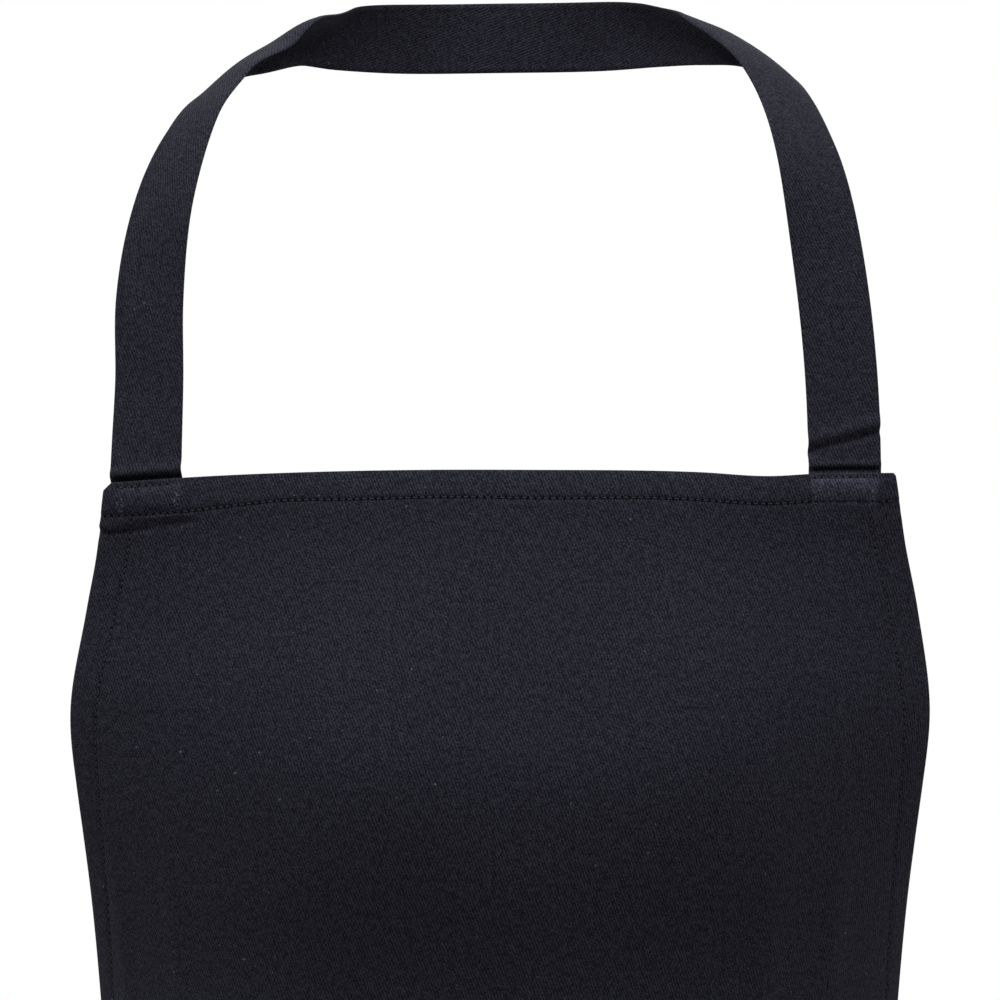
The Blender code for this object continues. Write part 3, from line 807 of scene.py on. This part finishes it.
def tail_stitch_row(word, path, across, walked, bend, thread):
    """The row of stitches across a tie's turned end."""
    at = walked[-1] - 0.0080
    centre = np.array([np.interp(at, walked, path[:, i]) for i in range(3)])
    way = np.array([np.interp(at, walked, across[:, i]) for i in range(3)])
    run = path[-1] - path[-6]
    out = np.cross(way, run)
    out /= np.linalg.norm(out)
    count = int((RIBBON_WIDTH - 0.003) / STITCH_PITCH)
    first = -count * STITCH_PITCH / 2 + (np.arange(count) + 0.1) * STITCH_PITCH
    both = np.stack([first, first + STITCH_LENGTH], axis=1)
    stand = bend(np.full(both.shape, at), both / (RIBBON_WIDTH / 2)) + 0.00066
    ends = centre + both[..., None] * way + stand[..., None] * out
    normals = np.broadcast_to(out, ends.shape)
    return stitch_mesh(f"{word}_tail", ends, normals, thread, f"{word}_tail")


# ---------------------------------------------------------------- the knot
def knot_piece(cloth):
    """The bow's knot: a pleated band wrapped round the crossing ties."""
    rows, columns = 97, 65
    around = np.linspace(0.0, 2 * math.pi, rows)[:-1]
    along = np.linspace(-1.0, 1.0, columns)
    a, s = np.meshgrid(around, along, indexing="ij")
    round_off = np.sqrt(np.clip(1 - np.abs(s) ** 4.5, 0.0, 1.0)) * 0.42 + 0.58
    pleat = 0.05 * np.sin(s * 11.0 + 1.3 * np.sin(a)) + 0.03 * np.sin(s * 23.0 - a)
    swell = 1.0 + pleat - 0.05 * np.cos(2 * a)
    y = KNOT_HALF[1] * 0.98 * np.sin(a) * round_off * swell
    z = KNOT_HALF[2] * 0.96 * np.cos(a) * round_off * swell
    x = KNOT_HALF[0] * 0.88 * s * (1 + 0.08 * np.cos(a)) + 0.0010 * np.sin(a)
    points = np.stack([x, y, z], axis=2) + np.array(KNOT_CENTRE)
    turn = 0.20 * np.sin(s * 2.0)
    points[..., 0] += turn * 0.004 * np.cos(a)
    count = len(around)
    faces = []
    for i in range(count):
        for j in range(columns - 1):
            p = i * columns + j
            q = ((i + 1) % count) * columns + j
            faces.append((p, p + 1, q + 1, q))
    flat = points.reshape(-1, 3)
    ends = np.array([points[:, 0].mean(axis=0), points[:, -1].mean(axis=0)])
    ends[:, 0] += [0.0022, -0.0022]
    first, last = len(flat), len(flat) + 1
    for i in range(count):
        p, q = i * columns, ((i + 1) % count) * columns
        faces.append((p, q, first))
        faces.append((q + columns - 1, p + columns - 1, last))
    uv = np.stack([s * 0.016, a * 0.016], axis=2).reshape(-1, 2)
    uv = np.concatenate([uv, [[-0.018, 0.0], [0.018, 0.0]]])
    obj = mesh_object("bow_knot_wrap", np.concatenate([flat, ends]), faces, uv, cloth)
    return attached(obj, "apron", "twill", "bow_knot")


# ---------------------------------------------------------------- materials
class Nodes:
    """Short names for making and linking shader nodes."""

    def __init__(self, name):
        self.material = bpy.data.materials.new(name)
        self.material.use_nodes = True
        self.tree = self.material.node_tree
        self.shader = self.tree.nodes["Principled BSDF"]

    def add(self, kind, **settings):
        node = self.tree.nodes.new(kind)
        for key, value in settings.items():
            setattr(node, key, value)
        return node

    def join(self, source, target):
        self.tree.links.new(source, target)

    def math(self, operation, first, second=None, third=None):
        node = self.add("ShaderNodeMath", operation=operation)
        for i, value in enumerate((first, second, third)):
            if value is None:
                continue
            if isinstance(value, (int, float)):
                node.inputs[i].default_value = value
            else:
                self.join(value, node.inputs[i])
        return node.outputs[0]

    def smooth(self, value, low, high):
        node = self.add("ShaderNodeMapRange", interpolation_type="SMOOTHSTEP")
        node.inputs["From Min"].default_value = low
        node.inputs["From Max"].default_value = high
        self.join(value, node.inputs["Value"])
        return node.outputs[0]

    def noise(self, vector, scale, detail=2.0, roughness=0.5):
        node = self.add("ShaderNodeTexNoise")
        node.inputs["Scale"].default_value = scale
        node.inputs["Detail"].default_value = detail
        node.inputs["Roughness"].default_value = roughness
        self.join(vector, node.inputs["Vector"])
        return node.outputs["Fac"]

    def ramp(self, factor, stops):
        node = self.add("ShaderNodeValToRGB")
        self.join(factor, node.inputs["Fac"])
        while len(node.color_ramp.elements) < len(stops):
            node.color_ramp.elements.new(0.5)
        for element, (place, colour) in zip(node.color_ramp.elements, stops):
            element.position = place
            element.color = (*colour, 1.0)
        return node.outputs["Color"]


def twill_height(n, coordinate):
    """Height of steep twill cords, broken into yarn floats, with loose fibres over them."""
    split = n.add("ShaderNodeSeparateXYZ")
    n.join(coordinate, split.inputs[0])
    across, along = split.outputs[0], split.outputs[1]
    waver = n.math("MULTIPLY", n.math("SUBTRACT", n.noise(coordinate, 160.0), 0.5), 0.0011)
    place = n.math("MULTIPLY_ADD", along, math.tan(TWILL_LEAN), across)
    place = n.math("ADD", place, waver)
    cord = n.math("DIVIDE", place, TWILL_PITCH)
    height = n.math("MULTIPLY", n.math("SINE", n.math("MULTIPLY", cord, 2 * math.pi)), 0.30)
    step = n.math("MULTIPLY", n.math("FLOOR", cord), 0.37)
    float_place = n.math("ADD", n.math("DIVIDE", along, 0.0016), step)
    floats = n.math("SINE", n.math("MULTIPLY", float_place, 2 * math.pi))
    height = n.math("MULTIPLY_ADD", floats, 0.10, height)
    for scale, weight in ((330.0, 0.75), (700.0, 1.3), (1500.0, 1.7)):
        grain = n.math("SUBTRACT", n.noise(coordinate, scale, 1.0, 0.5), 0.5)
        height = n.math("MULTIPLY_ADD", grain, weight, height)
    return n.math("ADD", height, 0.5)


def inside_band(n, value, low, high, soft):
    """1 between low and high, 0 outside, with soft edges."""
    rise = n.smooth(value, low - soft, low + soft)
    fall = n.smooth(value, high - soft, high + soft)
    return n.math("SUBTRACT", rise, fall)


def row_puckers(n, across, depth, row, first_hole):
    """Height of the small gathers that a row of stitches pulls into the cloth."""
    phase = n.math("MULTIPLY_ADD", across, 2 * math.pi / STITCH_PITCH, -first_hole)
    ripple = n.math("MULTIPLY", n.math("COSINE", phase), -1.0)
    gap = n.math("DIVIDE", n.math("SUBTRACT", depth, row), 0.0014)
    fade = n.math("POWER", math.e, n.math("MULTIPLY", n.math("MULTIPLY", gap, gap), -1.0))
    return n.math("MULTIPLY", ripple, fade)


def sewn_marks(n, uv, height):
    """Lighter cloth over the top hem, a changed tone over each strap end, pale flecks of painted
    thread sheen and wear beside the strap ends, and the height with its puckers.
    """
    split = n.add("ShaderNodeSeparateXYZ")
    n.join(uv, split.inputs[0])
    across = split.outputs[0]
    depth = n.math("MULTIPLY", split.outputs[1], -1.0)
    start = -(float(half_widths([TOP_STITCH])[0]) - 0.0012)
    hole = start + 0.2 * STITCH_PITCH - (STITCH_PITCH - STITCH_LENGTH) / 2
    hole = hole * 2 * math.pi / STITCH_PITCH
    puckers = row_puckers(n, across, depth, TOP_STITCH, hole)
    height = n.math("ADD", height, n.math("MULTIPLY", puckers, 0.5))
    hem = inside_band(n, depth, -0.002, TOP_STITCH - 0.0004, 0.0006)
    light = n.math("MULTIPLY_ADD", hem, 0.20, 1.0)
    spot_noise = n.noise(uv, 900.0, 1.0, 0.6)
    fleck_spots = n.smooth(spot_noise, 0.54, 0.66)
    sheen_and_wear = 0.0
    for x, row, lift in zip((LEFT_STRAP_X, RIGHT_STRAP_X), STRAP_STITCHES, STRAP_END_TONE):
        box = inside_band(n, across, x - 0.0125, x + 0.0125, 0.0008)
        rows = inside_band(n, depth, row - 0.001, TOP_STITCH + 0.002, 0.0012)
        box = n.math("MULTIPLY", box, rows)
        light = n.math("MULTIPLY_ADD", box, n.math("MULTIPLY_ADD", spot_noise, 0.6, lift), light)
        # pale fleck columns beside the strap end, where the bartacks are: painted thread sheen and
        # wear
        for place in (-0.0104, 0.0106):
            column = inside_band(n, across, x + place - 0.0011, x + place + 0.0011, 0.0006)
            low = inside_band(n, depth, 0.0052, 0.0112, 0.0010)
            sheen_and_wear = n.math("MULTIPLY_ADD", column, low, sheen_and_wear)
    return light, height, n.math("MULTIPLY", sheen_and_wear, fleck_spots)


def twill_material(name, sewn):
    """Navy-black cotton twill with visible cords, faint mottling and a few pale specks of lint."""
    n = Nodes(name)
    uv = n.add("ShaderNodeUVMap", uv_map="Cloth").outputs["UV"]
    height = twill_height(n, uv)
    dark = (0.0078, 0.0078, 0.0125)
    base = (0.0190, 0.0190, 0.0285)
    pale = (0.0380, 0.0380, 0.0540)
    colour = n.ramp(height, [(0.0, dark), (0.5, base), (1.0, pale)])
    mottle = n.noise(uv, 22.0, 3.0, 0.6)
    shade = n.math("MULTIPLY_ADD", mottle, 0.24, 0.88)
    sheen_and_wear = 0.0
    if sewn:
        light, height, sheen_and_wear = sewn_marks(n, uv, height)
        shade = n.math("MULTIPLY", shade, light)
    mixed = n.add("ShaderNodeMix", data_type="RGBA", blend_type="MULTIPLY")
    mixed.inputs[0].default_value = 1.0
    n.join(colour, mixed.inputs[6])
    n.join(shade, mixed.inputs[7])
    specks = n.noise(uv, 420.0, 1.0, 0.5)
    lint = n.math("MULTIPLY", n.smooth(specks, 0.765, 0.79), 0.8)
    # the fleck columns add painted thread sheen and wear to the real lint specks
    lint = n.math("MAXIMUM", lint, sheen_and_wear)
    tinted = n.add("ShaderNodeMix", data_type="RGBA")
    n.join(lint, tinted.inputs[0])
    n.join(mixed.outputs[2], tinted.inputs[6])
    tinted.inputs[7].default_value = (0.12, 0.125, 0.15, 1.0)
    n.join(tinted.outputs[2], n.shader.inputs["Base Color"])
    bump = n.add("ShaderNodeBump")
    bump.inputs["Strength"].default_value = 0.5
    bump.inputs["Distance"].default_value = 0.00022
    n.join(height, bump.inputs["Height"])
    n.join(bump.outputs[0], n.shader.inputs["Normal"])
    rough = n.math("MULTIPLY_ADD", height, -0.08, 0.95)
    n.join(rough, n.shader.inputs["Roughness"])
    n.shader.inputs["Specular IOR Level"].default_value = 0.12
    n.shader.inputs["Sheen Weight"].default_value = 0.03
    n.shader.inputs["Sheen Roughness"].default_value = 0.45
    n.shader.inputs["Sheen Tint"].default_value = (0.80, 0.85, 1.0, 1.0)
    return n.material


def thread_material():
    """Matte sewing thread, twisted."""
    n = Nodes("sewing thread")
    place = n.add("ShaderNodeTexCoord").outputs["Object"]
    twist = n.noise(place, 3800.0, 1.0, 0.5)
    pale = (0.046, 0.046, 0.062)
    colour = n.ramp(twist, [(0.25, (0.014, 0.014, 0.020)), (0.75, pale)])
    n.join(colour, n.shader.inputs["Base Color"])
    bump = n.add("ShaderNodeBump")
    bump.inputs["Strength"].default_value = 0.3
    bump.inputs["Distance"].default_value = 0.0001
    n.join(twist, bump.inputs["Height"])
    n.join(bump.outputs[0], n.shader.inputs["Normal"])
    n.join(n.math("MULTIPLY_ADD", twist, 0.2, 0.55), n.shader.inputs["Roughness"])
    n.shader.inputs["Specular IOR Level"].default_value = 0.25
    return n.material


def hole_shade_material():
    """Painted shade: the dimple of cloth round a needle hole, coloured near black as if it lay in
    shadow.
    """
    n = Nodes("needle hole")
    place = n.add("ShaderNodeTexCoord").outputs["Object"]
    grain = n.noise(place, 2500.0, 1.0, 0.5)
    # near-black colour is painted shade for the inside of the hole, not the cloth's own colour
    colour = n.ramp(grain, [(0.2, (0.0030, 0.0030, 0.0045)), (0.8, (0.0060, 0.0060, 0.0090))])
    n.join(colour, n.shader.inputs["Base Color"])
    n.join(n.math("MULTIPLY_ADD", grain, 0.1, 0.88), n.shader.inputs["Roughness"])
    n.shader.inputs["Specular IOR Level"].default_value = 0.05
    return n.material


# ---------------------------------------------------------------- seams
def seam(name, arcs, depths, thread, hole, hole_size=NEEDLE_HOLE):
    """A row of stitches and the needle holes between them, painted dark as shade."""
    row = stitches(name, arcs, depths, thread)
    line = np.stack([arcs, depths], axis=1)
    walked = walked_length(line)
    count = int(walked[-1] / STITCH_PITCH)
    places = (np.arange(count) + 0.2) * STITCH_PITCH - (STITCH_PITCH - STITCH_LENGTH) / 2
    step = np.stack([places, places + 0.0002], axis=1)
    arc = np.interp(step, walked, arcs)
    depth = np.interp(step, walked, depths)
    ends, normals = cloth_points(arc, depth)
    run = ends[:, 1] - ends[:, 0]
    keep = np.linalg.norm(run, axis=1) > 1e-7
    out = -normals[keep, 0]
    # dark discs painted as the shade in each needle hole
    holes = hole_shade_discs(f"{name}_holes", ends[keep, 0], out, run[keep], hole, hole_size)
    return [row, holes]


def hem_seams(thread, hole):
    """Every row that holds a hem, a strap end or a tie end."""
    made = []
    top = np.linspace(-1.0, 1.0, 400) * (half_widths([TOP_STITCH])[0] - 0.0012)
    made += seam("top_hem", top, top_row(top), thread, hole, DEEP_HOLE)
    bottom = np.linspace(-1.0, 1.0, 600) * (SKIRT_HALF - 0.0015)
    level = np.full_like(bottom, LENGTH - BOTTOM_STITCH)
    made += seam("bottom_hem", bottom, level, thread, hole)
    for side, word in ((-1, "left"), (1, "right")):
        depths = np.linspace(TOP_HEM + 0.001, 0.2945, 500)
        arcs = (half_widths(depths) - SIDE_STITCH * edge_stretch(depths)) * side
        made += seam(f"{word}_bib_hem", arcs, depths, thread, hole)
        depths = np.linspace(0.2985, LENGTH - BOTTOM_STITCH, 500)
        arcs = np.full_like(depths, (SKIRT_HALF - SIDE_STITCH) * side)
        made += seam(f"{word}_skirt_hem", arcs, depths, thread, hole)
        x = LEFT_STRAP_X if side < 0 else RIGHT_STRAP_X
        arcs = np.linspace(x - 0.0112, x + 0.0112, 60)
        level = np.full_like(arcs, STRAP_STITCHES[0 if side < 0 else 1])
        made += seam(f"{word}_strap", arcs, level, thread, hole, DEEP_HOLE)
        made += tie_frame(side, word, thread, hole)
    return made


def tie_frame(side, word, thread, hole):
    """The stitched rectangle with crossed diagonals that holds a tie to the skirt's corner."""
    low, high = 0.3325, 0.3460
    top, bottom = 0.3000, 0.3205
    corners = [(low, top), (high, top), (high, bottom), (low, bottom), (low, top)]
    corners += [(high, bottom), (high, top), (low, bottom)]
    line = np.array(corners)
    line = np.array([np.linspace(a, b, 20) for a, b in zip(line[:-1], line[1:])]).reshape(-1, 2)
    return seam(f"{word}_tie", line[:, 0] * side, line[:, 1], thread, hole)


# ---------------------------------------------------------------- stage
CHEST = (0.0, -0.05, 0.20)
SOFT_LIGHTS = (  # name, place, target, size in metres, power in watts
    ("key", (-0.05, -1.74, 2.27), CHEST, 0.9, 17.5),
    ("left", (-1.60, -0.95, 2.55), CHEST, 1.0, 53.0),
    ("right", (1.60, -0.95, 2.55), CHEST, 1.0, 41.0),
    ("back", (0.3, 2.4, 1.4), (0.0, 0.05, 0.0), 1.8, 30.0),
)
FLOOR_RADIUS = 2.4
FLOOR_HEIGHT = -1.05
LENS_MM = 235.8
CAMERA_PLACE = (0.0002, -2.468, BIB_TOP - 0.200)
CAMERA_TILT = math.radians(4.60)


def soft_light(name, place, target, size, power):
    data = bpy.data.lights.new(name, "AREA")
    data.shape = "SQUARE"
    data.size = size
    data.energy = power
    lamp = bpy.data.objects.new(name, data)
    lamp.location = place
    lamp.rotation_mode = "QUATERNION"
    lamp.rotation_quaternion = (Vector(target) - Vector(place)).to_track_quat("-Z", "Y")
    bpy.context.scene.collection.objects.link(lamp)


def studio():
    """Pale floor, white surroundings and soft lights from the front, above and behind."""
    bpy.ops.mesh.primitive_circle_add(
        vertices=96, radius=FLOOR_RADIUS, fill_type="NGON", location=(0.0, 0.0, FLOOR_HEIGHT)
    )
    floor = bpy.context.object
    floor.name = "studio_floor"
    n = Nodes("studio floor")
    n.shader.inputs["Base Color"].default_value = (0.86, 0.86, 0.86, 1.0)
    n.shader.inputs["Roughness"].default_value = 0.9
    floor.data.materials.append(n.material)
    for name, place, target, size, power in SOFT_LIGHTS:
        soft_light(name, place, target, size, power)
    world = bpy.data.worlds.new("studio")
    bpy.context.scene.world = world
    world.use_nodes = True
    tree = world.node_tree
    tree.nodes.clear()
    seen = tree.nodes.new("ShaderNodeBackground")
    lit = tree.nodes.new("ShaderNodeBackground")
    seen.inputs["Strength"].default_value = 1.0
    seen.inputs["Color"].default_value = (1.0, 1.0, 1.0, 1.0)
    lit.inputs["Strength"].default_value = 0.11
    lit.inputs["Color"].default_value = (1.0, 1.0, 1.0, 1.0)
    path = tree.nodes.new("ShaderNodeLightPath")
    mix = tree.nodes.new("ShaderNodeMixShader")
    out = tree.nodes.new("ShaderNodeOutputWorld")
    tree.links.new(path.outputs["Is Camera Ray"], mix.inputs[0])
    tree.links.new(lit.outputs[0], mix.inputs[1])
    tree.links.new(seen.outputs[0], mix.inputs[2])
    tree.links.new(mix.outputs[0], out.inputs["Surface"])
    bpy.context.scene.view_settings.view_transform = "Standard"


def camera():
    """A long lens a little below the bib's top edge, looking slightly up at it."""
    data = bpy.data.cameras.new("camera")
    data.lens = LENS_MM
    data.sensor_width = 36.0
    data.clip_end = 50.0
    obj = bpy.data.objects.new("camera", data)
    obj.location = CAMERA_PLACE
    obj.rotation_euler = (math.radians(90.0) + CAMERA_TILT, 0.0, 0.0)
    bpy.context.scene.collection.objects.link(obj)
    bpy.context.scene.camera = obj


def tie_up(side, word, tail_length, cloth, thread):
    """One side's tie, bow loop and tail."""
    tie, length = tie_piece(side, word, cloth)
    loop, length = loop_piece(side, word, cloth)
    tail, row, length = tail_piece(side, word, tail_length, cloth, thread)


def build():
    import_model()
    panel_cloth = twill_material("twill, panel", sewn=True)
    ribbon_cloth = twill_material("twill, straps", sewn=False)
    thread = thread_material()
    hole = hole_shade_material()

    panel = panel_piece(panel_cloth)
    attached(panel, "apron", "twill", "front_panel")
    hems = hem_pieces(panel_cloth)
    for hem in hems:
        attached(hem, "apron", "twill", hem.name.replace("_fold", ""))
    rows = hem_seams(thread, hole)

    strap, length = neck_strap_piece(ribbon_cloth)
    tie_up(-1, "left", LEFT_TAIL_LENGTH, ribbon_cloth, thread)
    tie_up(1, "right", RIGHT_TAIL_LENGTH, ribbon_cloth, thread)
    knot_piece(ribbon_cloth)
    studio()
    camera()


build()
